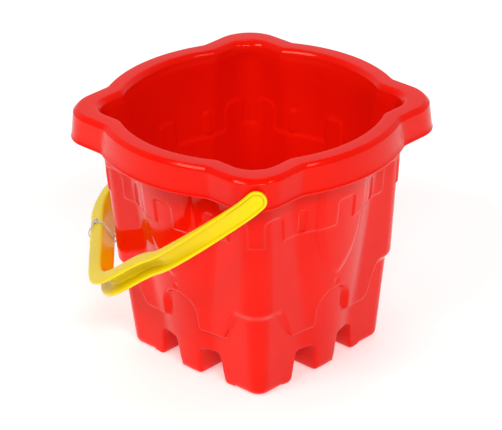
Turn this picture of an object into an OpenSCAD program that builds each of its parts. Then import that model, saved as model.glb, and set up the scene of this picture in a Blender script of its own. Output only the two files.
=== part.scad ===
// Castle sand bucket: one moulded bucket, one moulded bail handle, one tag loop.
// Origin: centre of the bucket, on the plane that its feet stand on. +Z is up.
// The four towers point along +X, +Y, -X and -Y; the handle turns about Y.

/* [Bucket] */
// Height from the feet to the top of the lip
bucket_h = 157; // [150:1:165]
// Wall thickness of the moulding
wall = 1.6; // [1.2:0.1:2]
// Radius of the round wall between the towers, at the feet
side_r_foot = 56.5; // [55:0.5:58]
// Half width of the square towers' plan, at the feet
tower_n_foot = 53.5; // [52.5:0.5:54]
// Height of the floor's underside above the feet
floor_z = 20; // [18:1:22]
// Depth of the step between the lower and the upper wall
band_step = 3.2; // [2.6:0.1:3.4]
// Depth of the battlement and shield relief
relief = 0.9; // [0.6:0.1:1.1]

/* [Lip and skirt] */
// Depth of the turned-down skirt below the top
skirt_h = 19; // [17:1:21]
// Half width of the towers' plan at the skirt's lower edge
skirt_n = 80.6; // [80.4:0.1:80.9]
// Radius of the skirt between the towers, at its lower edge
skirt_r = 91.5; // [91:0.1:92]

/* [Handle] */
// Height of the pivot axis above the feet
pivot_z = 146; // [145:0.5:147]
// Angle that the resting handle hangs below the horizontal
rest_drop = 41.8; // [38:0.1:41.8]
// Width of the channel strap
strap_w = 12.4; // [12:0.1:12.8]
// Thickness of the strap's web and flanges
strap_t = 1.8; // [1.6:0.1:2]
// Distance from the bucket's axis to the strap's outer edge at the pivot
strap_y = 109.8; // [109.6:0.1:110.2]
// Distance from the pivot axis to the grip's outer edge
grip_u = 127; // [126:0.5:130]
// Channel depth at the grip
grip_depth = 10; // [9:0.5:10]

/* [Pivot] */
// Diameter of the hole in the skirt
hole_d = 5; // [4.8:0.1:5.4]
// Radial clearance of the pivot pin in its hole
pin_clearance = 0.06; // [0.03:0.01:0.1]

/* [Tag loop] */
// Diameter of the clear thread
thread_d = 1; // [0.8:0.1:1.2]

/* [Hidden] */

function lerp(a, b, u) = a + (b - a) * u;
function clamp01(u) = max(0, min(1, u));

// ---------------------------------------------------------------- plan shape
// A plan is [n, r, c]: half width of the square towers, radius of the round
// walls between them, and the rounding of the towers' corners. Each of the four
// sides has its own axes: n points out of the side and t runs along it.
side_slope = 0.115;       // draft of the round wall
tower_slope_low = 0.098;  // draft of the towers below the step
tower_slope_up = 0.052;   // draft of the towers above the step
corner_foot = 8;          // rounding of the towers' corners at the feet
corner_low = 10.8;        // the same from mid height to the step
corner_up = 14.1;         // and above the step
band_z = 56;              // height of the step on the towers
band_floor_z = 34.5;      // height of the step beside the arch
arch_top_z = 57;          // crown of the arch in the middle of each side
arch_half_w = 12.3;
step_from_z = 54;                // height where the step is measured
tower_step = band_step - 0.3;    // it is a little shallower on the towers

function plan_low(z) =
    [tower_n_foot + tower_slope_low * z, side_r_foot + side_slope * z,
     lerp(corner_foot, corner_low, clamp01(z / 50))];
function plan_up(z) =
    [tower_n_foot + tower_slope_low * step_from_z + tower_step + tower_slope_up * (z - step_from_z),
     side_r_foot + side_slope * z + band_step, corner_up];
function grow(p, d) = [p[0] + d, p[1] + d, p[2] + d];
function mix(a, b, u) = [for (i = [0:2]) lerp(a[i], b[i], u)];

// Where the round wall meets the tower's flank, measured along the side
function crease(p) = sqrt(p[1] * p[1] - p[0] * p[0]);

// ------------------------------------------------------------------- columns
// A column is [kind, value]: on the round wall (value is a fraction of the way
// to the crease), on the flank (fraction of the flank) or on the corner (degrees).
ROUND = 0;
FLANK = 1;
CORNER = 2;
foot_edge = 0.46;   // edge of the middle foot
gap_edge = 0.52;    // where its side face reaches the floor
tower_gap = 0.105;  // the same two places on the tower's flank
tower_foot = 0.15;
half_columns = [
    [ROUND, 0.18], [ROUND, 0.21], [ROUND, 0.35],
    [ROUND, foot_edge], [ROUND, gap_edge], [ROUND, 0.6], [ROUND, 0.64],
    [ROUND, 0.8], [ROUND, 0.9], [ROUND, 1],
    [FLANK, tower_gap], [FLANK, tower_foot], [FLANK, 0.4], [FLANK, 0.8], [FLANK, 0.86],
    [CORNER, 8], [CORNER, 26], [CORNER, 30], [CORNER, 37]];
half_count = len(half_columns);

// One side's columns from one tower tip up to the next; the last tip is left
// to the next side. The third value is the sign of t.
side_columns = concat(
    [[CORNER, 45, -1]],
    [for (i = [half_count - 1:-1:0]) [half_columns[i][0], half_columns[i][1], -1]],
    [[ROUND, 0, 1]],
    [for (i = [0:half_count - 1]) [half_columns[i][0], half_columns[i][1], 1]]);
side_count = len(side_columns);
column_count = 4 * side_count;

function on_foot(c) =
    (c[0] == ROUND && c[1] <= foot_edge) || (c[0] == FLANK && c[1] >= tower_foot)
    || c[0] == CORNER;

// The flank columns lean back towards the tower below the floor, where the
// gap between the feet widens downwards
foot_lean = 0.1;
function flank_fraction(g, z) = g + foot_lean * (1 - g) * clamp01(1 - z / floor_z);

// Shift along the side that gives the feet's inner pockets their side walls
function pocket_shift(c) =
    c[0] == ROUND ? -wall * sin(180 * min(c[1], 0.98)) :
    c[0] == FLANK ? wall * (1 - c[1]) : 0;

function edge_point(c, p, z, shift) =
    let (t_crease = crease(p), t_flat = p[0] - p[2],
         t_round = c[1] * t_crease + shift * pocket_shift(c),
         t_flank = lerp(t_crease, t_flat, flank_fraction(c[1], z)) + shift * pocket_shift(c))
    c[0] == ROUND ? [sqrt(p[1] * p[1] - t_round * t_round), t_round] :
    c[0] == FLANK ? [p[0], t_flank] :
    [t_flat + p[2] * cos(c[1]), t_flat + p[2] * sin(c[1])];

// Inner end of each foot: a straight inner face on the middle feet and a
// chamfered inner corner on the tower feet
mid_foot_n = 34;
tower_foot_n = 33;
tower_foot_t = 25.5;
mid_foot_t = 8.4;
foot_side_lean = 1.2;
function foot_inner_point(c, inset) =
    let (u = c[0] == ROUND ? 0.9 * clamp01((c[1] - gap_edge) / (1 - gap_edge)) : 1,
         v = c[0] == FLANK ? 0.25 * c[1] : 0.25 + 0.5 * c[1] / 90)
    c[0] == ROUND && c[1] <= foot_edge ?
        [mid_foot_n + inset, (mid_foot_t - inset) * c[1] / foot_edge] :
    !on_foot(c) ?
        [lerp(mid_foot_n, tower_foot_n, u) + inset,
         lerp(mid_foot_t + foot_side_lean - inset, tower_foot_t - foot_side_lean + inset, u)] :
    [lerp(tower_foot_n, tower_foot_t, v) + inset, lerp(tower_foot_t, tower_foot_n, v) + inset];

// A point in a side's (n, t) axes, placed in the world
function place(nt, c, side, z) =
    let (a = 45 + 90 * side, t = nt[1] * c[2])
    [nt[0] * cos(a) - t * sin(a), nt[0] * sin(a) + t * cos(a), z];

// -------------------------------------------------------------------- relief
// Height of the big step: level beside the arch, an arch in the middle of each
// side, and higher again on the towers
function band_height(c, t) =
    c[0] == CORNER ? band_z :
    c[0] == FLANK ? lerp(band_floor_z, band_z, clamp01((c[1] - 0.45) / 0.4)) :
    t < arch_half_w ?
        arch_top_z - arch_half_w + sqrt(arch_half_w * arch_half_w - t * t) : band_floor_z;

// Lower edge of the shield in the middle of each side
shield_tip_z = 67;
shield_side_z = 98;
shield_edge = 0.6;
function shield_height(c) =
    c[0] == ROUND && c[1] <= shield_edge ?
        lerp(shield_tip_z, shield_side_z, pow(c[1] / shield_edge, 1.3)) : shield_side_z;
function shield_relief(c) = c[0] == ROUND && c[1] <= shield_edge ? relief : 0;

// Lower edge of the battlement: level, with a notch in the middle of each side
// and a window beside each tower's tip
battlement_z = 104;
notch_top_z = 120;
function battlement_height(c) =
    (c[0] == ROUND && c[1] <= 0.18) || (c[0] == ROUND && c[1] == 0.9)
    || (c[0] == FLANK && c[1] > 0.82) || (c[0] == CORNER && c[1] < 28)
    ? notch_top_z : battlement_z;

// ------------------------------------------------------------------ the rows
// Every column carries the same rows: under the floor, up the outer wall, round
// the lip and skirt, down the inner wall and across the floor inside.
foot_round = 2.6;
step_half = 2;
skirt_low = [skirt_n, skirt_r, 19.6];
skirt_top = [skirt_n, skirt_r - 1.2, 23];
lip_in = [skirt_n - 12, skirt_r - 12.5, 17];
bead = 0.5;     // how far the bead on the skirt's lower edge stands out
bead_h = 2.2;   // height of the bead, up to the plain skirt
lip_h = 2.4;    // depth of the lip's rounding below the top

function row(c, side, p, z, shift = 0) = place(edge_point(c, p, z, shift), c, side, z);

function outer_rows(c, side, zf) =
    let (foot = on_foot(c),
         t0 = edge_point(c, plan_low(50), 50, 0)[1],
         za = band_height(c, t0), zs = shield_height(c), zb = battlement_height(c),
         rs = shield_relief(c), step_z = c[0] == CORNER ? 1.5 * step_half : 0.6 * step_half)
    [place(foot_inner_point(c, -1.5), c, side, floor_z),
     place(foot_inner_point(c, 0), c, side, zf),
     row(c, side, grow(plan_low(0), -foot_round), zf),
     row(c, side, grow(plan_low(1), -0.3 * foot_round), foot ? 0.3 * foot_round : zf),
     row(c, side, plan_low(foot ? foot_round : floor_z), foot ? foot_round : zf),
     row(c, side, plan_low(floor_z + 2), floor_z + 2),
     row(c, side, plan_low(za - step_z), za - step_z),
     row(c, side, plan_up(za + step_z), za + step_z),
     row(c, side, plan_up(zs - 1), zs - 1),
     row(c, side, grow(plan_up(zs + 1), rs), zs + 1),
     row(c, side, grow(plan_up(zb - 0.8), rs), zb - 0.8),
     row(c, side, grow(plan_up(zb + 0.8), rs + relief), zb + 0.8),
     row(c, side, grow(plan_up(bucket_h - 30), rs + relief), bucket_h - 30),
     row(c, side, grow(plan_up(bucket_h), relief), bucket_h - wall - 1)];

function lip_rows(c, side) =
    [row(c, side, grow(skirt_top, -wall), bucket_h - wall - 3),
     row(c, side, grow(skirt_low, -wall), bucket_h - skirt_h),
     row(c, side, grow(skirt_low, bead), bucket_h - skirt_h),
     row(c, side, grow(skirt_low, bead), bucket_h - skirt_h + 1.4),
     row(c, side, skirt_low, bucket_h - skirt_h + bead_h),
     row(c, side, skirt_top, bucket_h - lip_h),
     row(c, side, grow(skirt_top, -0.6), bucket_h - 0.9),
     row(c, side, grow(skirt_top, -2.2), bucket_h - 0.1),
     row(c, side, lip_in, bucket_h)];

function inner_rows(c, side) =
    let (foot = on_foot(c), zp = foot ? wall : floor_z + wall,
         t0 = edge_point(c, plan_low(50), 50, 0)[1],
         za = band_height(c, t0) + 0.8 * wall,
         step_z = c[0] == CORNER ? 1.5 * step_half : 0.6 * step_half)
    [row(c, side, grow(plan_up(bucket_h), relief - wall), bucket_h - 2.4),
     row(c, side, grow(plan_up(za + step_z), -wall), za + step_z),
     row(c, side, grow(plan_low(za - step_z), -wall), za - step_z),
     row(c, side, grow(plan_low(floor_z + 5), -wall), floor_z + 5, 1),
     row(c, side, grow(plan_low(zp), -wall), zp, 1),
     place(foot_inner_point(c, wall), c, side, zp),
     place(foot_inner_point(c, wall - 1.5), c, side, floor_z + wall)];

module bucket_shell() {
    columns = [for (side = [0:3]) for (c = side_columns)
        concat(outer_rows(c, side, on_foot(c) ? 0 : floor_z), lip_rows(c, side),
               inner_rows(c, side))];
    row_count = len(columns[0]);
    points = [for (column = columns) for (p = column) p];
    function id(i, j) = (i % column_count) * row_count + j;
    walls = [for (i = [0:column_count - 1]) for (j = [0:row_count - 2])
        for (face = [[id(i, j), id(i, j + 1), id(i + 1, j + 1)],
                     [id(i, j), id(i + 1, j + 1), id(i + 1, j)]]) face];
    // The two middles of the floor are fans round a centre point
    under_centre = len(points);
    over_centre = under_centre + 1;
    floors = [for (i = [0:column_count - 1])
        for (face = [[under_centre, id(i, 0), id(i + 1, 0)],
                     [over_centre, id(i + 1, row_count - 1), id(i, row_count - 1)]]) face];
    polyhedron(points = concat(points, [[0, 0, floor_z], [0, 0, floor_z + wall]]),
               faces = concat(walls, floors), convexity = 12);
}

// Distance from the axis to the skirt's outer face at a tower tip, at a height
function skirt_tip(z) =
    let (z0 = bucket_h - skirt_h + bead_h, z1 = bucket_h - lip_h,
         p = mix(skirt_low, skirt_top, clamp01((z - z0) / (z1 - z0))))
    p[0] * sqrt(2) - p[2] * (sqrt(2) - 1);
boss_d = 11;
boss_depth = 2.2;

module bucket() {
    color([0.86, 0.07, 0.05])
    difference() {
        union() {
            bucket_shell();
            for (s = [-1, 1])
                translate([0, s * (skirt_tip(pivot_z) - 0.8 * wall), pivot_z])
                    rotate([90 * s, 0, 0]) cylinder(d = boss_d, h = boss_depth, $fn = 48);
        }
        for (s = [-1, 1])
            translate([0, s * (skirt_tip(pivot_z) + 3), pivot_z])
                rotate([90 * s, 0, 0]) cylinder(d = hole_d, h = 10, $fn = 48);
    }
}

// -------------------------------------------------------------------- handle
// The strap's outer edge is a curve in the bail's plane: u is the distance from
// the pivot axis and y runs along it. It is drawn for the -Y half and mirrored.
pivot_flat = 6;       // straight length past the pivot
knee = [80, -82.7];   // where the arm bends in before the grip
knee_angle = 41;
grip_half = 32.5;     // half of the grip's straight length
arm_lead = 20.3;      // handle lengths of the two curves' end tangents
turn_lead = 28.5;
grip_lead = 40;
end_r = strap_w / 2;

function bezier(a, b, c, d, u) =
    pow(1 - u, 3) * a + 3 * pow(1 - u, 2) * u * b + 3 * (1 - u) * u * u * c + pow(u, 3) * d;

knee_dir = [cos(knee_angle), sin(knee_angle)];
arm_start = [pivot_flat, -strap_y];
grip_end = [grip_u, -grip_half];
arm_curve = [for (i = [0:11])
    bezier(arm_start, arm_start + [3, 0], knee - arm_lead * knee_dir, knee, i / 12)];
turn_curve = [for (i = [0:14])
    bezier(knee, knee + turn_lead * knee_dir, grip_end - [0, grip_lead], grip_end, i / 15)];
half_path = concat([[0, -strap_y]], arm_curve, turn_curve, [grip_end, [grip_u, -grip_half / 2]]);
half_n = len(half_path);
path = concat(half_path, [[grip_u, 0]],
              [for (i = [half_n - 1:-1:0]) [half_path[i][0], -half_path[i][1]]]);
path_n = len(path);

// Depth of the channel: shallow over the skirt, deeper past the knee
pivot_depth = 3;
arm_depth = 6.4;
arm_ramp = [14, 60];    // deepens from pivot_depth to arm_depth
grip_ramp = [76, 88];   // and from arm_depth to grip_depth
function share(u, ramp) = clamp01((u - ramp[0]) / (ramp[1] - ramp[0]));
function channel_depth(p) =
    lerp(lerp(pivot_depth, arm_depth, share(p[0], arm_ramp)), grip_depth, share(p[0], grip_ramp));

function unit(v) = v / norm(v);
function path_dir(i) = unit(path[min(i + 1, path_n - 1)] - path[max(i - 1, 0)]);

// A station is [point, direction, half width, inner half width, depth, recess].
function station(i) =
    [path[i], path_dir(i), end_r, end_r - strap_t, channel_depth(path[i]),
     channel_depth(path[i]) - strap_t];
end_angles = [4, 20, 38, 56, 74];
inner_end = end_r - strap_t;
function end_station(x, y, dir) =
    let (half = sqrt(end_r * end_r - x * x), open = x < inner_end)
    [[-x, y], dir, half, open ? sqrt(inner_end * inner_end - x * x) : half * 0.5,
     pivot_depth, open ? pivot_depth - strap_t : 0.02];
end_offsets = concat([for (a = end_angles) end_r * cos(a)], [inner_end - 0.15, inner_end + 0.05]);
function sorted_down(v) = len(v) < 2 ? v :
    let (m = max(v)) concat([m], sorted_down([for (x = v) if (x < m) x]));
end_steps = sorted_down(end_offsets);
stations = concat(
    [for (x = end_steps) end_station(x, -strap_y, [1, 0])],
    [for (i = [0:path_n - 1]) station(i)],
    [for (k = [len(end_steps) - 1:-1:0]) end_station(end_steps[k], strap_y, [-1, 0])]);

// In the bail's own frame: X is -u, Y is y and Z is across the strap. The open
// side of the channel faces out of the bail, its web faces the bucket.
function ring(s) =
    let (inward = [-s[1][1], s[1][0]])
    [for (q = [[0, s[2]], [s[4], s[2]], [s[4], -s[2]], [0, -s[2]],
               [0, -s[3]], [s[5], -s[3]], [s[5], s[3]], [0, s[3]]])
        [-(s[0][0] + inward[0] * q[0]), s[0][1] + inward[1] * q[0], q[1]]];

module strap() {
    rings = [for (s = stations) ring(s)];
    count = len(rings);
    points = [for (r = rings) for (p = r) p];
    function id(i, j) = i * 8 + j % 8;
    walls = [for (i = [0:count - 2]) for (j = [0:7])
        for (face = [[id(i, j), id(i + 1, j), id(i + 1, j + 1)],
                     [id(i, j), id(i + 1, j + 1), id(i, j + 1)]]) face];
    function cap(i) = [[id(i, 0), id(i, 1), id(i, 6), id(i, 7)],
                       [id(i, 1), id(i, 2), id(i, 5), id(i, 6)],
                       [id(i, 2), id(i, 3), id(i, 4), id(i, 5)]];
    function flip(f) = [for (k = [len(f) - 1:-1:0]) f[k]];
    polyhedron(points = points, convexity = 6,
               faces = concat(walls, cap(0), [for (f = cap(count - 1)) flip(f)]));
}

pin_d = hole_d - 2 * pin_clearance;
web_y = strap_y - pivot_depth;
pin_end_y = skirt_tip(pivot_z) - boss_depth - wall - 1.6;
shoulder_d = 8;
head_d = hole_d + 0.7;

module pivot_pin() {
    // The shoulder clears the skirt, which leans out below the pivot
    skirt_y = skirt_tip(pivot_z - shoulder_d / 2) + 0.15;
    rotate([90, 0, 0]) {
        translate([0, 0, skirt_y]) cylinder(d = shoulder_d, h = web_y - skirt_y + 0.6, $fn = 48);
        translate([0, 0, pin_end_y]) cylinder(d = pin_d, h = web_y - pin_end_y + 0.6, $fn = 48);
        translate([0, 0, pin_end_y - 2]) cylinder(d1 = pin_d - 1.4, d2 = head_d, h = 2, $fn = 48);
    }
}

// Places a piece drawn in the bail's frame at rest
module at_rest() {
    translate([0, 0, pivot_z]) rotate([0, -rest_drop, 0]) children();
}

module handle() {
    color([1, 0.88, 0.05])
    at_rest() {
        strap();
        for (s = [0, 180]) rotate([0, 0, s]) pivot_pin();
    }
}

// ------------------------------------------------------------------ tag loop
// The thread goes once round the grip and closes in a small bead on its web.
loop_y = 22;
loop_clear = 0.5;
loop_drag = 11;     // how far the loop hangs back from its bead
loop_reach = 12;    // and within what distance of the bead
loop_step = 1.5;
loop_sides = 8;

module tag_loop() {
    r = thread_d / 2;
    out = grip_u + loop_clear + r;
    in = grip_u - grip_depth - loop_clear - r;
    half = strap_w / 2 + loop_clear + r;
    corner = 2;
    // Loop centre line in (u, across), one rounded corner at a time
    corners = [[out, half, 0], [in, half, 90], [in, -half, 180], [out, -half, 270]];
    inset = [[-1, -1], [1, -1], [1, 1], [-1, 1]];
    turns = [for (k = [0:3]) for (a = [0:22.5:90])
        [corners[k][0] + inset[k][0] * corner + corner * cos(a + 90 * k),
         corners[k][1] + inset[k][1] * corner + corner * sin(a + 90 * k)]];
    line = [for (i = [0:len(turns) - 1])
        let (a = turns[i], b = turns[(i + 1) % len(turns)],
             parts = max(1, round(norm(b - a) / loop_step)))
        for (j = [0:parts - 1]) lerp(a, b, j / parts)];
    n = len(line);
    mid_u = (out + in) / 2;
    // A loose loop: the bead is drawn along the grip and the rest hangs back
    centre = [for (q = line)
        let (away = clamp01(norm(q - [mid_u, half]) / loop_reach))
        [-q[0], loop_y - loop_drag * away * (2 - away), q[1]]];
    points = [for (i = [0:n - 1])
        let (d = unit(centre[(i + 1) % n] - centre[(i + n - 1) % n]),
             across = unit(cross(d, [0, 1, 0])), other = cross(d, across))
        for (k = [0:loop_sides - 1])
            centre[i] + r * (cos(360 * k / loop_sides) * across
                             + sin(360 * k / loop_sides) * other)];
    function id(i, k) = (i % n) * loop_sides + k % loop_sides;
    faces = [for (i = [0:n - 1]) for (k = [0:loop_sides - 1])
        for (face = [[id(i, k), id(i + 1, k + 1), id(i, k + 1)],
                     [id(i, k), id(i + 1, k), id(i + 1, k + 1)]]) face];
    color([0.92, 0.93, 0.95, 0.6])
    at_rest() {
        polyhedron(points = points, faces = faces, convexity = 6);
        translate([-mid_u, loop_y, half]) cube([4, 2.2, 1.6], center = true);
    }
}

bucket();
handle();
tag_loop();
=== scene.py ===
"""Castle sand bucket: the visual model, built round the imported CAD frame.

Lengths are in millimetres until a mesh is made. Each of the bucket's four
sides has its own axes: n points out of the side and t runs along it.
"""
import math

import bmesh
import bpy
import numpy as np
from mathutils import Matrix, Vector


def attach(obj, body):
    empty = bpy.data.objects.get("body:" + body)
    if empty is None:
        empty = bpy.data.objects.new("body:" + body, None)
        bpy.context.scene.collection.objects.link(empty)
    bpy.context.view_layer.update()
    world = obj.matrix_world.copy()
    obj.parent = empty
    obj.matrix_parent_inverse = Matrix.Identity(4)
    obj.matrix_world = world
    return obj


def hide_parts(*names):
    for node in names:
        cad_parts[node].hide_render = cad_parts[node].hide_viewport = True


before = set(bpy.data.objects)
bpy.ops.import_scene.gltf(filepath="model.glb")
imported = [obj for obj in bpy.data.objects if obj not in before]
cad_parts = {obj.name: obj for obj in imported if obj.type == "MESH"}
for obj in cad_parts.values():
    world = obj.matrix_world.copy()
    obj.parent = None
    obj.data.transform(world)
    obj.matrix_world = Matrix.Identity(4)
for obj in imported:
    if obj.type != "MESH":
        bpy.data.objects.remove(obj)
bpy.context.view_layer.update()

MM = 0.001
QUARTER = math.pi / 4

# ------------------------------------------------------------ CAD dimensions
BUCKET_H = 157.0
WALL = 1.6
FLOOR_Z = 20.0
RELIEF = 0.9
SKIRT_H = 19.0
SKIRT_N, SKIRT_R, SKIRT_C = 80.6, 91.5, 19.6
PIVOT_Z = 146.0
REST_DROP = math.radians(41.8)
STRAP_W = 12.4
STRAP_T = 1.8
STRAP_Y = 109.8
GRIP_U = 127.0
GRIP_DEPTH = 10.0
GRIP_HALF = 32.5
HOLE_D = 5.0
PIN_CLEARANCE = 0.06
THREAD_D = 1.0


def lerp(a, b, u):
    return a + (b - a) * u


def smoothstep(low, high, v):
    u = np.clip((v - low) / (high - low), 0.0, 1.0)
    return u * u * (3 - 2 * u)


# ---------------------------------------------------------------- plan shape
# A plan is (n, r, c): half width of the square towers, radius of the round
# walls between them, and the rounding of the towers' corners.
CREASE = 1.4        # how softly the round wall meets the tower's flank
LIP_CREASE = 1.0


def plan_low(z):
    return np.array([53.5 + 0.098 * z, 56.5 + 0.115 * z, lerp(8.0, 10.8, np.clip(z / 50, 0, 1))])


def plan_up(z):
    return np.array([61.692 + 0.052 * (z - 54), 59.7 + 0.115 * z, 14.1 + 0 * z])


def plan_radius(phi, plan, crease=CREASE):
    """Distance from the axis to the wall, at an angle from the middle of a side."""
    n, r, c = plan
    cos, sin = np.cos(phi), np.sin(phi)
    m = n - c
    along = m * (cos + sin)
    corner = along + np.sqrt(np.maximum(along ** 2 - 2 * m * m + c * c, 0))
    square = np.where(sin * n > m * cos, corner, n / cos)
    near = np.maximum(crease - np.abs(square - r), 0) / crease
    return np.maximum(square, r) + 0.25 * crease * near ** 2


def even_angles(count):
    """Angles from the middle of a side to a tower tip, evenly spaced along the wall."""
    phi = np.linspace(0, QUARTER, 3001)
    r = plan_radius(phi, plan_up(100.0))
    step = np.hypot(np.diff(r * np.cos(phi)), np.diff(r * np.sin(phi)))
    length = np.concatenate([[0], np.cumsum(step)])
    return np.interp(np.linspace(0, length[-1], count + 1), length, phi)


def angle_at(t, plan):
    """The angle at which the wall is t away from the middle of its side."""
    low, high = np.zeros_like(t), np.full_like(t, QUARTER)
    for _ in range(30):
        mid = (low + high) / 2
        below = plan_radius(mid, plan) * np.sin(mid) < t
        low, high = np.where(below, mid, low), np.where(below, high, mid)
    return (low + high) / 2


# ------------------------------------------------------------------ a shell
class Shell:
    """A skin of closed rings. Each ring is given for half a side and repeated
    round the bucket; neighbouring rings may differ in their number of columns."""

    def __init__(self):
        self.points, self.faces, self.last = [], [], None
        self.count = 0

    def ring(self, n, t, z):
        n, t, z = (np.asarray(v, float) + np.zeros(len(n)) for v in (n, t, z))
        half = len(n) - 1
        order = np.concatenate([np.arange(half, 0, -1), np.arange(0, half)])
        sign = np.concatenate([-np.ones(half), np.ones(half)])
        ns, ts, zs = n[order], t[order] * sign, z[order]
        rows = []
        for side in range(4):
            a = QUARTER + side * math.pi / 2
            rows.append(np.stack([ns * math.cos(a) - ts * math.sin(a),
                                  ns * math.sin(a) + ts * math.cos(a), zs], 1))
        ring = np.concatenate(rows)
        self.points.append(ring)
        ids = self.count + np.arange(len(ring))
        self.count += len(ring)
        if self.last is not None:
            self.join(self.last, ids)
        self.last = ids

    def join(self, a, b):
        size = min(len(a), len(b))
        ka, kb = len(a) // size, len(b) // size
        for i in range(size):
            low = [a[(i * ka + k) % len(a)] for k in range(ka + 1)]
            high = [b[(i * kb + k) % len(b)] for k in range(kb, -1, -1)]
            self.faces.append(tuple(low + high))

    def close(self, z, first):
        """Fans the last ring, or the first one, to a point on the axis."""
        self.points.append(np.array([[0.0, 0.0, z]]))
        ring = self.last if not first else np.arange(len(self.points[0]))
        for i, j in zip(ring, np.roll(ring, -1)):
            self.faces.append((self.count, j, i) if first else (i, j, self.count))
        self.count += 1

    def mesh(self, name):
        mesh = bpy.data.meshes.new(name)
        points = np.concatenate(self.points) * MM
        mesh.from_pydata(points.tolist(), [], self.faces)
        mesh.update()
        return mesh


def add_object(name, mesh):
    piece = bpy.data.objects.new(name, mesh)
    bpy.context.scene.collection.objects.link(piece)
    return piece


# ------------------------------------------------------------ relief pattern
BAND_LOW_Z = 34.5
BAND_HIGH_Z = 56.0
ARCH_R = 12.3
ARCH_TOP_Z = 57.0
ARCH_FLARE = 3.0
TOWER_RISE_FROM, TOWER_RISE_TO = 28.5, 43.0   # where the step climbs onto the tower


def band_line(t):
    """Height of the step between the lower and the upper wall."""
    arch = ARCH_TOP_Z - ARCH_R + np.sqrt(np.maximum(ARCH_R ** 2 - t ** 2, 0))
    flare_end = ARCH_R + ARCH_FLARE
    flare = BAND_LOW_Z + ARCH_FLARE - np.sqrt(
        np.maximum(ARCH_FLARE ** 2 - np.maximum(flare_end - t, 0) ** 2, 0))
    climb = smoothstep(TOWER_RISE_FROM, TOWER_RISE_TO, t)
    tower = BAND_LOW_Z + (BAND_HIGH_Z - BAND_LOW_Z) * climb
    return np.where(t < ARCH_R, arch, np.where(t < flare_end, flare, tower))


def line_distance(t, z, line_t, line_z):
    """Distance from points to a polyline, in the wall's (t, z) plane."""
    best = np.full(np.shape(t), 1e9)
    for (ta, za), (tb, zb) in zip(zip(line_t, line_z), zip(line_t[1:], line_z[1:])):
        dt, dz = tb - ta, zb - za
        u = np.clip(((t - ta) * dt + (z - za) * dz) / max(dt * dt + dz * dz, 1e-9), 0, 1)
        best = np.minimum(best, np.hypot(t - ta - u * dt, z - za - u * dz))
    return best


def band_share(t, z):
    """0 on the lower wall, 1 on the upper wall, and the slope between them."""
    ts = np.concatenate([ARCH_R * np.sin(np.linspace(0, math.pi / 2, 24)),
                         np.linspace(ARCH_R + 0.001, ARCH_R + ARCH_FLARE, 10),
                         np.linspace(16, 28, 3),
                         np.linspace(TOWER_RISE_FROM, TOWER_RISE_TO, 16), [90.0]])
    zs = band_line(ts)
    distance = line_distance(t, z, ts, zs)
    signed = np.where(z > band_line(t), distance, -distance)
    half = lerp(1.2, 2.8, smoothstep(27, 40, t))
    return smoothstep(-half, half, signed)


def rounded_box(x, z, x0, x1, z0, z1, r):
    """Signed distance to a rounded rectangle, positive outside."""
    qx = np.abs(x - (x0 + x1) / 2) - (x1 - x0) / 2 + r
    qz = np.abs(z - (z0 + z1) / 2) - (z1 - z0) / 2 + r
    return np.hypot(np.maximum(qx, 0), np.maximum(qz, 0)) + np.minimum(np.maximum(qx, qz), 0) - r


# Half width of the shield at each height, from its tip up
SHIELD_T = np.array([0, 2.2, 5.5, 10, 14, 17.2, 19.2, 20.2, 20.4, 20.4])
SHIELD_Z = np.array([69, 70, 72.5, 77.5, 83.5, 90.5, 97.5, 103, 108, 170])
SHIELD_BEVEL = 4.6
DIMPLE_Z = 62.0
BATTLEMENT_Z = 104.0
# Gaps in the battlement: two limits across, two in height, and a corner radius
NOTCH = (-6.5, 6.5, 90, 119.7, 2.5)
SLIT = (27, 31, 105, 119.5, 2.0)
WINDOW = (4.8, 15.5, 90, 121, 4.0)


def battlement_share(t, tip, z, edge):
    """1 on the raised battlement and 0 off it. tip is the distance from the
    tower's diagonal."""
    line = z - BATTLEMENT_Z
    notch, slit = rounded_box(t, z, *NOTCH), rounded_box(t, z, *SLIT)
    window = rounded_box(tip, z, *WINDOW)
    proud = np.minimum(np.minimum(line, notch), np.minimum(slit, window))
    return smoothstep(-edge, edge, proud)


def relief_height(t, tip, z):
    """Height of the raised pattern outside: battlement, shield and dimple."""
    outline = np.interp(z, SHIELD_Z, SHIELD_T, left=-1)
    inside = np.where((z > SHIELD_Z[0]) & (t < outline), 1, -1)
    shield = inside * line_distance(t, z, SHIELD_T, SHIELD_Z)
    dimple = np.hypot(t, z - DIMPLE_Z)
    crown = 1.0 - (1.0 - np.clip(shield / SHIELD_BEVEL, 0, 1)) ** 1.4
    return (1.05 * RELIEF * battlement_share(t, tip, z, 0.45)
            + 0.7 * smoothstep(-0.4, 0.4, shield) + 0.9 * crown
            - 0.5 * smoothstep(2.2, 0.8, dimple))


# -------------------------------------------------------------------- bucket
COARSE = 45            # columns on half a side
FINE = 2 * COARSE      # the same where the wall carries relief
GAP_END_COLUMN, TOWER_FOOT_COLUMN = 24, 31   # the gap's last column, the tower foot's first
FAN_Z = 32.0           # the feet's columns are evenly spread from here up
FINE_TO_Z = 137.0
MID_FOOT_N = 34.0                        # inner face of the middle foot
TOWER_FOOT_N, TOWER_FOOT_T = 33.0, 27.4  # inner edge of the tower foot
# Distance of the feet's side faces from the middle of the side, at the
# bottom and at the top of the gap between the feet
MID_LOW_T, MID_HIGH_T = 8.4, 9.9
TOWER_LOW_T, TOWER_HIGH_T = 25.2, 23.8
FOOT_CORNER_R, GAP_CORNER_R = 2.8, 3.0
FOOT_INNER_R = 2.6                       # rounding along the feet's inner lower edge

fine_phi = even_angles(FINE)
coarse_phi = fine_phi[::2]


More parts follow.
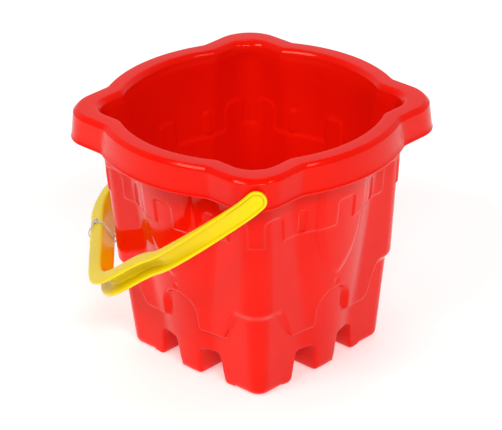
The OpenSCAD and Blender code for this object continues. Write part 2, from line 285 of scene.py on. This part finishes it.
def foot_outline(inset):
    """(t, z) of the wall's lower edge by column: the middle foot, the gap and
    the tower foot. inset moves it inwards, for the skin inside the bucket."""
    base, top = inset, FLOOR_Z + inset
    mid_low, mid_high = MID_LOW_T - inset, MID_HIGH_T - inset
    tow_low, tow_high = TOWER_LOW_T + inset, TOWER_HIGH_T + inset
    rc = FOOT_CORNER_R - 0.2 * inset
    rg = GAP_CORNER_R + 0.6 * inset
    tip = plan_low(0.0)
    tip_t = tip[0] - tip[2] * (1 - math.sqrt(0.5)) - inset

    def arc(ct, cz, r, a0, a1, count):
        a = np.radians(np.linspace(a0, a1, count + 1))
        return [(ct + r * math.cos(v), cz + r * math.sin(v)) for v in a]

    def straight(p, q, count):
        return [(lerp(p[0], q[0], k / count), lerp(p[1], q[1], k / count))
                for k in range(1, count)]

    arcs = [arc(mid_low - rc, base + rc, rc, -90, -4, 3),
            arc(mid_high + rg, top - rg, rg, 176, 90, 3),
            arc(tow_high - rg, top - rg, rg, 90, 11, 3),
            arc(tow_low + rc, base + rc, rc, 191, 270, 3)]
    points = [(0.0, base)] + straight((0, base), arcs[0][0], 6) + arcs[0]
    points += straight(arcs[0][-1], arcs[1][0], 3) + arcs[1]
    points += straight(arcs[1][-1], arcs[2][0], 6) + arcs[2]
    points += straight(arcs[2][-1], arcs[3][0], 3) + arcs[3]
    left = COARSE + 1 - len(points)
    points += straight(arcs[3][-1], (tip_t, base), left) + [(tip_t, base)]
    return np.array(points).T


def edge_rounding(distance, r):
    """How far a rounded edge of radius r draws the wall in."""
    inside = np.clip(r - distance, 0, r)
    return r - np.sqrt(np.maximum(r * r - inside ** 2, 0))


def blended(phi, z, depth=0.0):
    """Radius of the wall with its big step, drawn in by depth."""
    low = plan_radius(phi, plan_low(z) - depth)
    up = plan_radius(phi, plan_up(z) - depth)
    t = low * np.sin(phi)
    return lerp(low, up, band_share(t, z))


def tower_angles(outline_phi):
    """Spreads the tower foot's columns evenly from its edge to the tip."""
    start = TOWER_FOOT_COLUMN
    share = (coarse_phi[start:] - coarse_phi[start]) / (QUARTER - coarse_phi[start])
    phi = outline_phi.copy()
    phi[start:] = lerp(phi[start], QUARTER, share)
    return phi


def foot_wall_rings(inset, rounding, shares):
    """Rings of the wall between the feet's outline and FAN_Z, lowest first."""
    line_t, line_z = foot_outline(inset)
    rings = []
    upper_plan = plan_low(FAN_Z) - inset
    upper_t = plan_radius(coarse_phi, upper_plan) * np.sin(coarse_phi)
    for u in shares:
        z = lerp(line_z, FAN_Z, u)
        t = lerp(line_t, upper_t, u)
        distance = line_distance(t, z, line_t, line_z)
        nearest = np.argmin(np.hypot(t[:, None] - line_t, z[:, None] - line_z), axis=1)
        depth = edge_rounding(distance, rounding[nearest])
        plan = plan_low(z) - inset - depth
        phi = tower_angles(angle_at(t, plan))
        r = plan_radius(phi, plan)
        r = lerp(r, plan_radius(phi, plan_up(z) - inset - depth), band_share(r * np.sin(phi), z))
        rings.append((r * np.cos(phi), r * np.sin(phi), z))
    return rings


def foot_inner_rings(outline, outer_ring, inset):
    """Rings from the feet's outline in to the foot's inner face and the floor."""
    line_t, line_z = outline
    top = FLOOR_Z + inset
    column = np.arange(COARSE + 1)
    share = np.clip((column - TOWER_FOOT_COLUMN) / (COARSE - TOWER_FOOT_COLUMN), 0, 1)
    edge = np.clip((column - GAP_END_COLUMN) / (TOWER_FOOT_COLUMN - GAP_END_COLUMN), 0, 1)
    mid_n, tow_n, tow_t = MID_FOOT_N + inset, TOWER_FOOT_N + inset, TOWER_FOOT_T + inset
    across = smoothstep(9.0, 22.0, line_t)
    end_n = np.where(share > 0, lerp(tow_n, (tow_n + tow_t) / 2, share),
                     lerp(mid_n, tow_n, across))
    gap_t = np.where(edge > 0, lerp(line_t[GAP_END_COLUMN], tow_t, edge), line_t)
    end_t = np.where(share > 0, lerp(tow_t, (tow_n + tow_t) / 2, share), gap_t)
    rise = top - line_z
    n0, t0, _ = outer_ring
    rings = []
    length = np.hypot(n0 - end_n, t0 - end_t)
    out_n, out_t = (n0 - end_n) / length, (t0 - end_t) / length
    for u in (0.12, 0.35, 0.6, 0.8):
        back = np.maximum(length * (1 - u), FOOT_INNER_R)
        rings.append((end_n + out_n * back, end_t + out_t * back, line_z))
    for a in (0, 22, 45, 68, 90):
        s, c = math.sin(math.radians(a)), math.cos(math.radians(a))
        lift = np.minimum(FOOT_INNER_R * (1 - c), rise)
        back = FOOT_INNER_R * (1 - s)
        rings.append((end_n + out_n * back, end_t + out_t * back, line_z + lift))
    low = line_z + np.minimum(FOOT_INNER_R, rise)
    for share_up, back in ((0.5, -0.7), (0.88, -1.3), (0.97, -1.8), (1.0, -2.8)):
        rings.append((end_n + out_n * back, end_t + out_t * back, lerp(low, top, share_up)))
    return rings


def disc_rings(outer_ring, z):
    """Rings that carry the floor in to the axis with fewer and fewer columns."""
    n, t, _ = outer_ring
    return [(n[::3] * 0.8, t[::3] * 0.8, z), (n[::9] * 0.3, t[::9] * 0.3, z)]


LIP_N, LIP_R, LIP_C = 68.6, 79.0, 17.0
LIP_WIDTH = 12.0
BOSS_R, BOSS_DEPTH = 5.5, 2.2      # boss behind the skirt, round the pin's hole


def arcs(e, z, turns):
    """Points along arcs that follow one another from (e, z). Each turn gives
    the surface normal's first and last angle, and the arc's radius."""
    points = [(e, z)]
    for first, last, radius in turns:
        a = np.radians(np.linspace(first, last, 5 if last - first > 12 else 4))
        for b, c in zip(a, a[1:]):
            e += radius * (math.cos(c) - math.cos(b))
            z += radius * (math.sin(c) - math.sin(b))
            points.append((e, z))
    return points


def lip_profile():
    """The lip's cross-section from the skirt over the top to the inside: how
    far each point stands out of the inner edge's plan, and its height."""
    outer = arcs(LIP_WIDTH, 0.0, [(0, 32, 0.8), (32, 48, 11.0), (48, 90, 1.0)])
    lift = BUCKET_H - outer[-1][1]
    inner = arcs(1.4, BUCKET_H, [(90, 132, 1.6), (132, 150, 9.0), (150, 172, 3.0)])
    return [(e, z + lift) for e, z in outer] + [(4.0, BUCKET_H)] \
        + inner + [(-2.6, 151.0)]


def lip_plan(e):
    u = e / LIP_WIDTH
    return np.array([LIP_N + e, lerp(LIP_R, SKIRT_R - 1.2, u), lerp(LIP_C, SKIRT_C + 3.4, u)])


def skirt_plans():
    """Plans of the skirt's outer face at its lower edge and under the lip."""
    low = np.array([SKIRT_N, SKIRT_R, SKIRT_C])
    return low, low + [0, -1.2, 3.4]


def plan_ring(plan, z, crease):
    r = plan_radius(coarse_phi, plan, crease)
    return r * np.cos(coarse_phi), r * np.sin(coarse_phi), z


def build_bucket():
    shell = Shell()
    outline = foot_outline(0.0)
    rounding = np.full(COARSE + 1, 1.3)
    rounding[:8] = rounding[34:] = 3.4
    rounding[8:10] = rounding[32:34] = 1.7
    rounding[14:27] = 1.0
    shares = np.array([0, 0.5, 1.1, 1.9, 2.9, 4.2, 6.5, 10, 14, 18, 22, 26, 29.5, 32]) / 32
    outer = foot_wall_rings(0.0, rounding, shares)
    under = foot_inner_rings(outline, outer[0], 0.0)
    for ring in reversed(disc_rings(under[-1], FLOOR_Z)):
        shell.ring(*ring)
    for ring in reversed(under):
        shell.ring(*ring)
    for ring in outer[:-1]:
        shell.ring(*ring)
    # The wall that carries the relief
    rows = np.concatenate([np.arange(32, 62, 0.85), np.arange(62, 101, 1.35),
                           np.arange(101.5, 124, 0.75), np.arange(124.5, FINE_TO_Z, 2.5)])
    for z in rows:
        r = blended(fine_phi, z)
        t = r * np.sin(fine_phi)
        tip = (r * np.cos(fine_phi) - t) / math.sqrt(2)
        r = r + relief_height(t, tip, z)
        shell.ring(r * np.cos(fine_phi), r * np.sin(fine_phi), z)
    for z, out in ((139.0, 0), (146.0, 0), (151.5, 0), (153.2, 0.4), (154.2, 1.4)):
        shell.ring(*plan_ring(plan_up(z) + 2 * RELIEF * (1 - 0.2 * out) + out, z, CREASE))
    low, top = skirt_plans()
    bottom = BUCKET_H - SKIRT_H
    for plan, z in ((top - WALL - 1.6, 154.4), (top - WALL - 0.4, 153.6),
                    (top - WALL, 152.0), (lerp(top, low, 0.5) - WALL, 145.0),
                    (low - WALL, bottom + 0.9), (low - WALL + 0.25, bottom + 0.25),
                    (low - WALL + 0.7, bottom), (low, bottom), (low + 0.38, bottom + 0.2),
                    (low + 0.5, bottom + 0.6), (low + 0.46, bottom + 1.1),
                    (low + 0.22, bottom + 1.6), (low, bottom + 2.2),
                    (lerp(low, top, 0.25), 143.8), (lerp(low, top, 0.6), 148.8),
                    (lerp(low, top, 0.88), 152.6)):
        shell.ring(*plan_ring(plan, z, LIP_CREASE))
    for e, z in lip_profile():
        shell.ring(*plan_ring(lip_plan(e), z, LIP_CREASE))
    # The wall inside, which follows the relief
    for z in np.concatenate([[149, 144, 138, 132, 127], np.arange(123.5, 100, -1.1),
                             [98.5, 95, 91, 87, 83, 79, 75, 71, 67], np.arange(64, 33, -1.6)]):
        phi = fine_phi if 100 < z < 124 else coarse_phi
        outside = blended(phi, z)
        t = outside * np.sin(phi)
        tip = (outside * np.cos(phi) - t) / math.sqrt(2)
        grow = battlement_share(t, tip, z, 0.7) if z < 124 else 1.0
        r = blended(phi, z - 1.3, WALL) + RELIEF * grow
        shell.ring(r * np.cos(phi), r * np.sin(phi), z)
    inner_outline = foot_outline(WALL)
    inner_rounding = np.full(COARSE + 1, 0.8)
    inner = foot_wall_rings(WALL, inner_rounding, shares[[0, 2, 4, 6, 7, 8, 9, 10, 12]])
    for ring in reversed(inner):
        shell.ring(*ring)
    over = foot_inner_rings(inner_outline, inner[0], WALL)
    for ring in over:
        shell.ring(*ring)
    for ring in disc_rings(over[-1], FLOOR_Z + WALL):
        shell.ring(*ring)
    shell.close(FLOOR_Z + WALL, first=False)
    shell.close(FLOOR_Z, first=True)
    return shell.mesh("bucket_shell")


def skirt_tip(z):
    """Distance from the axis to the skirt's outer face at a tower tip."""
    low, top = skirt_plans()
    n, _, c = lerp(low, top, (z - 140.2) / 14.4)
    return float(n * math.sqrt(2) - c * (math.sqrt(2) - 1))


def revolved(name, profile, count=64):
    """A closed body of revolution about local Z from an (r, z) profile that
    starts and ends on the axis."""
    angles = np.arange(count) * 2 * math.pi / count
    points = [(0, 0, profile[0][1])]
    for r, z in profile[1:-1]:
        points += [(r * math.cos(a), r * math.sin(a), z) for a in angles]
    points.append((0, 0, profile[-1][1]))
    rings = len(profile) - 2
    faces = []
    for i in range(count):
        j = (i + 1) % count
        faces.append((0, 1 + j, 1 + i))
        for k in range(rings - 1):
            a, b = 1 + k * count, 1 + (k + 1) * count
            faces.append((a + i, a + j, b + j, b + i))
        last = 1 + (rings - 1) * count
        faces.append((last + i, last + j, len(points) - 1))
    mesh = bpy.data.meshes.new(name)
    mesh.from_pydata([tuple(c * MM for c in p) for p in points], [], faces)
    return mesh


def combine(piece, tools):
    """Adds or cuts each tool body into the piece, and applies the result."""
    for tool, operation in tools:
        step = piece.modifiers.new("step", "BOOLEAN")
        step.object, step.operation, step.solver = tool, operation, "MANIFOLD"
        bpy.context.view_layer.update()
        graph = bpy.context.evaluated_depsgraph_get()
        mesh = bpy.data.meshes.new_from_object(piece.evaluated_get(graph), depsgraph=graph)
        piece.modifiers.clear()
        piece.data = mesh
        bpy.data.objects.remove(tool)


def smooth(piece, angle):
    piece.data.shade_smooth()
    piece.data.set_sharp_from_angle(angle=math.radians(angle))


def along_y(sign, distance, z=PIVOT_Z):
    """Local Z points out along sign * Y, from a point on that axis."""
    return Matrix.Translation(Vector((0, sign * distance, z)) * MM) @ \
        Matrix.Rotation(-sign * math.pi / 2, 4, "X")


def bucket_piece():
    piece = add_object("bucket_shell", build_bucket())
    tools = []
    tip = skirt_tip(PIVOT_Z)
    for sign in (-1, 1):
        inner = tip - 0.8 * WALL - BOSS_DEPTH
        boss = add_object("boss", revolved("boss", [
            (0, 0), (BOSS_R - 0.6, 0), (BOSS_R - 0.2, 0.15), (BOSS_R, 0.6),
            (BOSS_R, BOSS_DEPTH + 0.2), (0, BOSS_DEPTH + 0.2)]))
        boss.matrix_world = along_y(sign, inner)
        tools.append((boss, "UNION"))
        hole = add_object("hole", revolved("hole", [(0, 0), (HOLE_D / 2, 0),
                                                    (HOLE_D / 2, 12), (0, 12)]))
        hole.matrix_world = along_y(sign, inner - 4)
        tools.append((hole, "DIFFERENCE"))
    combine(piece, tools)
    smooth(piece, 58)
    return piece


# -------------------------------------------------------------------- handle
KNEE, KNEE_ANGLE = (80, -82.7), 41       # where the arm bends in before the grip
PIVOT_FLAT = 6.0                         # straight length past the pivot
ARM_LEAD, TURN_LEAD, GRIP_LEAD = 20.3, 28.5, 40   # lengths of the curves' end tangents
ARM_DEPTHS = (3.0, 6.4)                  # channel depth at the pivot and before the knee


def bezier(points, u):
    a, b, c, d = (np.array(p, float) for p in points)
    u = np.asarray(u)[:, None]
    return (1 - u) ** 3 * a + 3 * (1 - u) ** 2 * u * b + 3 * (1 - u) * u * u * c + u ** 3 * d


def bail_line():
    """Points of the strap's outer edge, (distance from the pivot axis, y)."""
    knee, angle = np.array(KNEE), math.radians(KNEE_ANGLE)
    lean = np.array([math.cos(angle), math.sin(angle)])
    start, end = np.array([PIVOT_FLAT, -STRAP_Y]), np.array([GRIP_U, -GRIP_HALF])
    u = np.linspace(0, 1, 240)
    arm = bezier([start, start + [3, 0], knee - ARM_LEAD * lean, knee], u)
    turn = bezier([knee, knee + TURN_LEAD * lean, end - [0, GRIP_LEAD], end], u)
    half = np.concatenate([[[0, -STRAP_Y]], arm, turn[1:], [[GRIP_U, 0]]])
    return np.concatenate([half, half[-2::-1] * [1, -1]])


def resampled(line, step):
    length = np.concatenate([[0], np.cumsum(np.hypot(*np.diff(line, axis=0).T))])
    count = int(round(length[-1] / step))
    s = np.linspace(0, length[-1], count + 1)
    return np.stack([np.interp(s, length, line[:, k]) for k in (0, 1)], 1), s


def channel_depth(u):
    shallow = lerp(*ARM_DEPTHS, np.clip((u - 14) / 46, 0, 1))
    return lerp(shallow, GRIP_DEPTH, smoothstep(68, 94, u))


def strap_profile():
    """(distance in from the strap's edge, depth share, depth offset) from the
    middle of the web's back, round the rim, to the middle of the channel."""
    half = STRAP_W / 2
    rows = [(half, 1, 0), (3.6, 1, 0), (1.6, 1, 0), (0.9, 1, -0.12), (0.4, 1, -0.4),
            (0.1, 1, -0.9), (0, 1, -1.5)]
    rows += [(0, s, 0) for s in (0.6, 0.4, 0.25)]
    rim = STRAP_T / 2
    for a in (0, 30, 60, 90, 120, 150, 180):
        v = math.radians(a)
        rows.append((rim - rim * math.cos(v), 0, rim - rim * math.sin(v)))
    rows += [(STRAP_T + 0.05, 0.5, -0.4), (STRAP_T + 0.1, 1, -STRAP_T - 0.8),
             (STRAP_T + 0.3, 1, -STRAP_T - 0.25), (STRAP_T + 0.9, 1, -STRAP_T),
             (3.4, 1, -STRAP_T), (half, 1, -STRAP_T)]
    return rows


def build_strap():
    line, s = resampled(bail_line(), 1.0)
    total = s[-1]
    half = STRAP_W / 2
    end_angles = np.radians(np.linspace(90, 270, 25))[1:-1]
    end_turn = np.stack([np.cos(end_angles), np.sin(end_angles)], 1)
    # The strap's outline, unrolled: along the top edge, round one end, back
    # along the bottom edge and round the other end. Each entry is the centre
    # that the outline closes in on and the direction to the outline.
    centres = np.concatenate([s[::-1], np.zeros(len(end_turn)), s,
                              np.full(len(end_turn), total)])
    directions = np.concatenate([np.tile([0, 1], (len(s), 1)), end_turn,
                                 np.tile([0, -1], (len(s), 1)), -end_turn])
    points = []
    for inset, share, offset in strap_profile():
        reach = half - inset
        x = centres + directions[:, 0] * reach
        across = directions[:, 1] * reach
        on_line = np.clip(x, 0, total)
        u, y = np.interp(on_line, s, line[:, 0]), np.interp(on_line, s, line[:, 1])
        before, after = np.clip(on_line - 0.5, 0, total), np.clip(on_line + 0.5, 0, total)
        du = np.interp(after, s, line[:, 0]) - np.interp(before, s, line[:, 0])
        dy = np.interp(after, s, line[:, 1]) - np.interp(before, s, line[:, 1])
        length = np.hypot(du, dy)
        du, dy = du / length, dy / length
        beyond = x - on_line
        u, y = u + du * beyond, y + dy * beyond
        depth = channel_depth(np.maximum(u, 0)) * share + offset
        points.append(np.stack([-(u - dy * depth), y + du * depth, across], 1))
    size, rows = len(centres), len(points)
    faces = []
    for k in range(rows - 1):
        for i in range(size):
            j = (i + 1) % size
            faces.append((k * size + i, k * size + j, (k + 1) * size + j, (k + 1) * size + i))
    mesh = bpy.data.meshes.new("strap")
    mesh.from_pydata((np.concatenate(points) * MM).tolist(), [], faces)
    return mesh


def merged(mesh):
    """Welds the points that meet on the strap's middle line, and faces it outwards."""
    body = bmesh.new()
    body.from_mesh(mesh)
    bmesh.ops.remove_doubles(body, verts=body.verts, dist=0.00002)
    bmesh.ops.dissolve_degenerate(body, edges=body.edges, dist=0.00001)
    bmesh.ops.recalc_face_normals(body, faces=body.faces)
    body.to_mesh(mesh)
    body.free()
    return mesh


AT_REST = Matrix.Translation((0, 0, PIVOT_Z * MM)) @ Matrix.Rotation(-REST_DROP, 4, "Y")


def handle_piece():
    piece = add_object("handle_bail", merged(build_strap()))
    tools = []
    web = STRAP_Y - ARM_DEPTHS[0]
    skirt_y = skirt_tip(PIVOT_Z - 4.0) + 0.15
    pin_r = HOLE_D / 2 - PIN_CLEARANCE
    end = skirt_tip(PIVOT_Z) - BOSS_DEPTH - WALL - 1.6
    head_r = (HOLE_D + 0.7) / 2
    profile = [(0, -2), (pin_r - 0.9, -2), (pin_r - 0.65, -1.8), (head_r - 0.1, -0.25),
               (head_r, -0.1), (head_r - 0.05, 0), (pin_r, 0), (pin_r, skirt_y - end),
               (3.8, skirt_y - end), (4.0, skirt_y - end + 0.2), (4.0, web - end + 0.6),
               (0, web - end + 0.6)]
    for sign in (-1, 1):
        pin = add_object("pin", revolved("pin", profile))
        pin.matrix_world = along_y(sign, end, 0)
        tools.append((pin, "UNION"))
    combine(piece, tools)
    smooth(piece, 50)
    piece.data.transform(AT_REST)
    return piece


# ------------------------------------------------------------------ tag loop
LOOP_Y, LOOP_CLEAR = 22.0, 0.5
LOOP_DRAG, LOOP_REACH = 11.0, 12.0   # how far it hangs back from its bead, and over what
LOOP_CORNER = 2.0
BLOCK_SIZE = (4.0, 2.2, 1.6)


def tag_piece():
    r = THREAD_D / 2
    out, into = GRIP_U + LOOP_CLEAR + r, GRIP_U - GRIP_DEPTH - LOOP_CLEAR - r
    half = STRAP_W / 2 + LOOP_CLEAR + r
    corner = LOOP_CORNER
    middle = (out + into) / 2
    turns = []
    for k, (cu, cz, iu, iz) in enumerate(((out, half, -1, -1), (into, half, 1, -1),
                                          (into, -half, 1, 1), (out, -half, -1, 1))):
        for a in np.linspace(0, 90, 9):
            v = math.radians(a + 90 * k)
            turns.append((cu + iu * corner + corner * math.cos(v),
                          cz + iz * corner + corner * math.sin(v)))
    turns = np.array(turns)
    line = []
    for a, b in zip(turns, np.roll(turns, -1, axis=0)):
        parts = max(1, round(float(np.hypot(*(b - a)))))
        line += [lerp(a, b, j / parts) for j in range(parts)]
    u, z = np.array(line).T
    away = np.clip(np.hypot(u - middle, z - half) / LOOP_REACH, 0, 1)
    centre = np.stack([-u, LOOP_Y - LOOP_DRAG * away * (2 - away), z], 1)
    sides = 12
    count = len(centre)
    points, faces = [], []
    for i in range(count):
        d = centre[(i + 1) % count] - centre[i - 1]
        d = d / np.linalg.norm(d)
        across = np.cross(d, [0, 1, 0])
        across /= np.linalg.norm(across)
        other = np.cross(d, across)
        for k in range(sides):
            v = 2 * math.pi * k / sides
            points.append(centre[i] + r * (math.cos(v) * across + math.sin(v) * other))
    for i in range(count):
        for k in range(sides):
            a, b = i * sides, ((i + 1) % count) * sides
            faces.append((a + k, a + (k + 1) % sides, b + (k + 1) % sides, b + k))
    mesh = bpy.data.meshes.new("tag_thread")
    mesh.from_pydata([tuple(float(c) * MM for c in p) for p in points], [], faces)
    piece = add_object("tag_thread", merged(mesh))
    # The small moulded block that the thread's ends snap into
    block = bmesh.new()
    bmesh.ops.create_cube(block, size=1.0)
    bmesh.ops.scale(block, verts=block.verts, vec=[v * MM for v in BLOCK_SIZE])
    bmesh.ops.bevel(block, geom=block.edges[:], offset=0.45 * MM, segments=3, affect="EDGES",
                    profile=0.5)
    bmesh.ops.translate(block, verts=block.verts,
                        vec=(-middle * MM, LOOP_Y * MM, half * MM))
    block_mesh = bpy.data.meshes.new("tag_block")
    block.to_mesh(block_mesh)
    block.free()
    combine(piece, [(add_object("tag_block", block_mesh), "UNION")])
    smooth(piece, 60)
    piece.data.transform(AT_REST)
    return piece


# ----------------------------------------------------------------- materials
def plastic(name, base, dark, crease, roughness, subsurface=0.0, wear=0.12, tint=(1, 1, 1),
            reach=0.006):
    """Moulded gloss plastic: slight mottling of the colour and gloss, painted
    shade (a darker crease colour mixed in where ambient occlusion finds hollows
    within reach of another face), fine surface ripple, and hairline scratches."""
    material = bpy.data.materials.new(name)
    material.use_nodes = True
    tree = material.node_tree
    nodes, link = tree.nodes, tree.links.new
    shader = nodes["Principled BSDF"]
    shader.inputs["IOR"].default_value = 1.45
    shader.inputs["Specular IOR Level"].default_value = 0.34
    shader.inputs["Specular Tint"].default_value = (*tint, 1)
    shader.inputs["Subsurface Weight"].default_value = subsurface
    shader.inputs["Subsurface Radius"].default_value = (1.0, 0.35, 0.15)
    shader.inputs["Subsurface Scale"].default_value = 0.002
    coords = nodes.new("ShaderNodeTexCoord")

    def noise(scale, detail):
        node = nodes.new("ShaderNodeTexNoise")
        node.inputs["Scale"].default_value = scale
        node.inputs["Detail"].default_value = detail
        link(coords.outputs["Object"], node.inputs["Vector"])
        return node

    def ramp(source, low, high, a, b):
        node = nodes.new("ShaderNodeMapRange")
        node.interpolation_type = "SMOOTHSTEP"
        for key, value in (("From Min", low), ("From Max", high), ("To Min", a), ("To Max", b)):
            node.inputs[key].default_value = value
        link(source, node.inputs["Value"])
        return node.outputs["Result"]

    flow = noise(14, 3)
    mix = nodes.new("ShaderNodeMix")
    mix.data_type = "RGBA"
    mix.inputs["A"].default_value = (*base, 1)
    mix.inputs["B"].default_value = (*dark, 1)
    link(ramp(flow.outputs["Fac"], 0.35, 0.7, 0.0, 1.0), mix.inputs["Factor"])
    # Painted shade: the crease colour darkens the colour in hollows that ambient occlusion finds,
    # standing in for the shade there.
    painted_shade_ao = nodes.new("ShaderNodeAmbientOcclusion")
    painted_shade_ao.inputs["Distance"].default_value = reach
    painted_shade_ao.only_local = True      # no shade from a neighbour that moves away
    corner = nodes.new("ShaderNodeMix")
    corner.data_type = "RGBA"
    corner.inputs["A"].default_value = (*crease, 1)
    link(mix.outputs["Result"], corner.inputs["B"])
    link(ramp(painted_shade_ao.outputs["AO"], 0.3, 0.92, 0.0, 1.0), corner.inputs["Factor"])
    link(corner.outputs["Result"], shader.inputs["Base Color"])
    # Hairline scratches: stretched fine noise, only where another noise allows
    stretch = nodes.new("ShaderNodeMapping")
    stretch.inputs["Scale"].default_value = (900, 900, 40)
    stretch.inputs["Rotation"].default_value = (0.5, 0.9, 0.3)
    link(coords.outputs["Object"], stretch.inputs["Vector"])
    hair = nodes.new("ShaderNodeTexNoise")
    hair.inputs["Scale"].default_value = 1.0
    hair.inputs["Detail"].default_value = 1.0
    link(stretch.outputs["Vector"], hair.inputs["Vector"])
    patch = noise(38, 2)
    scratch = nodes.new("ShaderNodeMath")
    scratch.operation = "MULTIPLY"
    link(ramp(hair.outputs["Fac"], 0.66, 0.74, 0, 1), scratch.inputs[0])
    link(ramp(patch.outputs["Fac"], 0.5, 0.65, 0, wear), scratch.inputs[1])
    gloss = nodes.new("ShaderNodeMath")
    gloss.operation = "ADD"
    link(ramp(noise(55, 4).outputs["Fac"], 0.3, 0.7, roughness, roughness + 0.07),
         gloss.inputs[0])
    link(scratch.outputs[0], gloss.inputs[1])
    link(gloss.outputs[0], shader.inputs["Roughness"])
    ripple = noise(70, 2)
    grain = noise(900, 2)
    height = nodes.new("ShaderNodeMath")
    height.operation = "MULTIPLY_ADD"
    height.inputs[1].default_value = 0.06
    link(grain.outputs["Fac"], height.inputs[0])
    link(ripple.outputs["Fac"], height.inputs[2])
    bump = nodes.new("ShaderNodeBump")
    bump.inputs["Strength"].default_value = 0.12
    bump.inputs["Distance"].default_value = 0.0006
    link(height.outputs[0], bump.inputs["Height"])
    link(bump.outputs["Normal"], shader.inputs["Normal"])
    return material


def clear_nylon():
    # The third colour is painted shade for hollows.
    material = plastic("clear_nylon", (0.86, 0.84, 0.84), (0.80, 0.78, 0.80), (0.74, 0.72, 0.74),
                       0.16)
    shader = material.node_tree.nodes["Principled BSDF"]
    shader.inputs["IOR"].default_value = 1.53
    shader.inputs["Transmission Weight"].default_value = 0.55
    return material


# -------------------------------------------------------------------- pieces
bucket = bucket_piece()
handle = handle_piece()
tag = tag_piece()
# The third colour of each plastic is painted shade for its hollows; the handle's longer reach
# darkens its channel with it.
for piece, node, body, slot, material in (
        (bucket, "bucket", "bucket", "red_plastic",
         plastic("red_plastic", (0.86, 0.007, 0.001), (0.80, 0.005, 0.001),
                 (0.62, 0.004, 0.0), 0.07, 0.05, tint=(1.0, 0.5, 0.4))),
        (handle, "handle", "handle", "yellow_plastic",
         plastic("yellow_plastic", (0.90, 0.70, 0.003), (0.84, 0.64, 0.002),
                 (0.72, 0.55, 0.0), 0.2, 0.05, tint=(1.0, 0.85, 0.4), reach=0.011)),
        (tag, "tag_loop", "handle", "clear_nylon", clear_nylon())):
    piece.data.materials.clear()
    piece.data.materials.append(material)
    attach(piece, body)
    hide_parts(node)


# ------------------------------------------------------------- camera, stage
CAMERA_ANGLES = (-0.698, 26.96, -1.235)      # azimuth, elevation and roll
CAMERA_LENS, CAMERA_DISTANCE = 211.44, 1757
AIM_SIDE, AIM_Z = -1.6, 82.6                 # where it aims, sideways and in height
FLOOR_HALF, FLOOR_DROP = 8.0, 0.00005        # metres; the drop keeps it off the feet


def add_camera():
    azimuth, elevation, roll = (math.radians(v) for v in CAMERA_ANGLES)
    target = Vector((AIM_SIDE * math.cos(azimuth), AIM_SIDE * math.sin(azimuth), AIM_Z))
    back = Vector((math.sin(azimuth) * math.cos(elevation),
                   -math.cos(azimuth) * math.cos(elevation), math.sin(elevation)))
    right = Vector((math.cos(azimuth), math.sin(azimuth), 0))
    up = back.cross(right)
    x_axis = right * math.cos(roll) + up * math.sin(roll)
    y_axis = up * math.cos(roll) - right * math.sin(roll)
    data = bpy.data.cameras.new("camera")
    data.sensor_width, data.sensor_fit = 36.0, "HORIZONTAL"
    data.lens = CAMERA_LENS
    data.clip_end = 20
    camera = bpy.data.objects.new("camera", data)
    bpy.context.scene.collection.objects.link(camera)
    rotation = Matrix((x_axis, y_axis, back)).transposed().to_4x4()
    camera.matrix_world = Matrix.Translation((target + back * CAMERA_DISTANCE) * MM) @ rotation
    bpy.context.scene.camera = camera


def add_light(name, place, aim, size, power, colour=(1, 1, 1)):
    data = bpy.data.lights.new(name, "AREA")
    data.shape, data.size, data.size_y = "RECTANGLE", size[0], size[1]
    data.energy, data.color = power, colour
    light = bpy.data.objects.new(name, data)
    bpy.context.scene.collection.objects.link(light)
    place, aim = Vector(place), Vector(aim)
    light.matrix_world = Matrix.Translation(place) @ \
        (place - aim).to_track_quat("Z", "Y").to_matrix().to_4x4()


def add_floor():
    mesh = bpy.data.meshes.new("floor")
    corners = ((-1, -1), (1, -1), (1, 1), (-1, 1))
    mesh.from_pydata([(x * FLOOR_HALF, y * FLOOR_HALF, -FLOOR_DROP) for x, y in corners],
                     [], [(0, 1, 2, 3)])
    floor = add_object("floor", mesh)
    material = bpy.data.materials.new("floor")
    material.use_nodes = True
    shader = material.node_tree.nodes["Principled BSDF"]
    shader.inputs["Base Color"].default_value = (0.9, 0.9, 0.9, 1)
    shader.inputs["Roughness"].default_value = 0.6
    shader.inputs["Specular IOR Level"].default_value = 0.2
    shader.inputs["Emission Color"].default_value = (1, 1, 1, 1)
    shader.inputs["Emission Strength"].default_value = 0.33
    mesh.materials.append(material)


def add_world():
    """A studio: a white backdrop behind the bucket, dim overhead and in front."""
    world = bpy.data.worlds.new("studio")
    bpy.context.scene.world = world
    world.use_nodes = True
    nodes, link = world.node_tree.nodes, world.node_tree.links.new
    coords = nodes.new("ShaderNodeTexCoord")
    split = nodes.new("ShaderNodeSeparateXYZ")
    link(coords.outputs["Generated"], split.inputs[0])
    depth = nodes.new("ShaderNodeMapRange")
    depth.interpolation_type = "SMOOTHSTEP"
    for key, value in (("From Min", -0.3), ("From Max", 0.6), ("To Min", 0.22), ("To Max", 0.65)):
        depth.inputs[key].default_value = value
    link(split.outputs["Y"], depth.inputs["Value"])
    link(depth.outputs["Result"], nodes["Background"].inputs["Strength"])
    nodes["Background"].inputs["Color"].default_value = (1, 1, 1, 1)


add_camera()
add_floor()
add_world()
add_light("front", (0.3, -1.5, 1.3), (0, 0, 0.08), (0.9, 0.24), 16, (1.0, 0.98, 0.95))
add_light("left_edge", (-1.05, -0.95, 1.45), (0, 0, 0.1), (0.95, 0.45), 13, (1.0, 0.97, 0.93))
add_light("right_edge", (1.05, -0.95, 1.45), (0, 0, 0.1), (0.3, 0.3), 2, (1.0, 0.98, 0.96))
add_light("top", (0.1, 0.25, 1.6), (0, 0, 0.08), (0.5, 0.5), 2.5, (1.0, 0.99, 0.97))
bpy.context.scene.view_settings.view_transform = "Standard"
